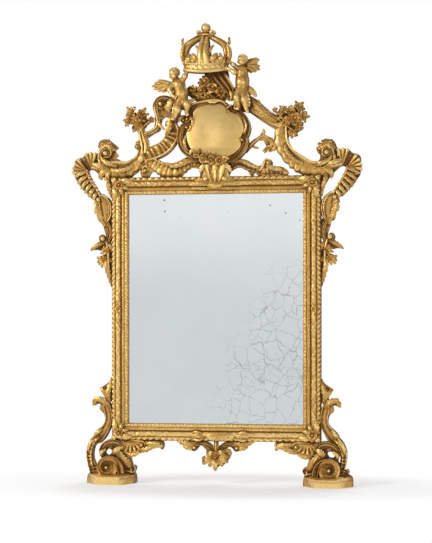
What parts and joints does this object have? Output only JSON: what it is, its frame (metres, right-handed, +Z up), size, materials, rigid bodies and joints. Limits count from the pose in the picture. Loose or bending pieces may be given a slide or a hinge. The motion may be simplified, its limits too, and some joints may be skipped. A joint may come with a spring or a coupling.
{
  "type": "giltwood mirror",
  "caption": "Carved and gilded mirror on scrolled feet with plinths, with a pierced crest of scrolls, flowers, winged children and a crown, and hanging rings on its back.",
  "frame": {"origin": "on the floor, midway across the mirror and midway through the depth of its plinths", "axes": "+Z up, -Y towards the viewer, +X to the viewer's right"},
  "size_m": [1.122, 0.12, 1.7794],
  "materials": {
    "gilded_wood": "water gilding, worn",
    "silvered_glass": "aged silvering",
    "raw_pine": "bare, aged",
    "forged_iron": "forged, rusty"
  },
  "bodies": {
    "mirror": {"apron_scrolls": "gilded_wood", "apron_shell": "gilded_wood", "back_screws": "forged_iron", "backboard_nails": "forged_iron", "backboard_plank_1": "raw_pine", "backboard_plank_2": "raw_pine", "backboard_plank_3": "raw_pine", "cartouche": "gilded_wood", "cartouche_flowers": "gilded_wood", "carving_dowels": "raw_pine", "crest_base_left": "gilded_wood", "crest_base_right": "gilded_wood", "crest_brace": "raw_pine", "crest_left_scroll": "gilded_wood", "crest_ribbed_scroll": "gilded_wood", "crest_right_branch": "gilded_wood", "crest_right_scroll": "gilded_wood", "crest_right_twig": "gilded_wood", "crest_roses": "gilded_wood", "crest_shell": "gilded_wood", "crest_upper_scroll": "gilded_wood", "crown_arches": "gilded_wood", "crown_band": "gilded_wood", "crown_orb": "gilded_wood", "crown_ribbon": "gilded_wood", "crown_stay": "forged_iron", "frame_bottom_rail": "gilded_wood", "frame_left_stile": "gilded_wood", "frame_overlays": "gilded_wood", "frame_right_stile": "gilded_wood", "frame_top_rail": "gilded_wood", "glazing_blocks": "raw_pine", "hanger_plates": "forged_iron", "left_ear": "gilded_wood", "left_flower_cap": "gilded_wood", "left_flower_spray": "gilded_wood", "left_foot_bracket": "gilded_wood", "left_foot_outer_scroll": "gilded_wood", "left_foot_scroll": "gilded_wood", "left_lower_scroll": "gilded_wood", "left_pendant": "gilded_wood", "left_plinth": "gilded_wood", "left_putto": "gilded_wood", "left_putto_wings": "gilded_wood", "mirror_plate": "silvered_glass", "right_ear": "gilded_wood", "right_flower_cap": "gilded_wood", "right_flower_spray": "gilded_wood", "right_foot_bracket": "gilded_wood", "right_foot_outer_scroll": "gilded_wood", "right_foot_scroll": "gilded_wood", "right_lower_scroll": "gilded_wood", "right_pendant": "gilded_wood", "right_plinth": "gilded_wood", "right_putto": "gilded_wood", "right_putto_wings": "gilded_wood"},
    "left_ring": {"left_hanging_ring": "forged_iron"},
    "right_ring": {"right_hanging_ring": "forged_iron"}
  },
  "joints": [
    {"name": "left_ring_swing", "type": "hinge", "parent": "mirror", "child": "left_ring", "pos_m": [-0.3855, 0.054, 1.03], "axis": [1, 0, 0], "range_deg": [0, 180]},
    {"name": "right_ring_swing", "type": "hinge", "parent": "mirror", "child": "right_ring", "pos_m": [0.3855, 0.054, 1.03], "axis": [1, 0, 0], "range_deg": [0, 180]}
  ]
}
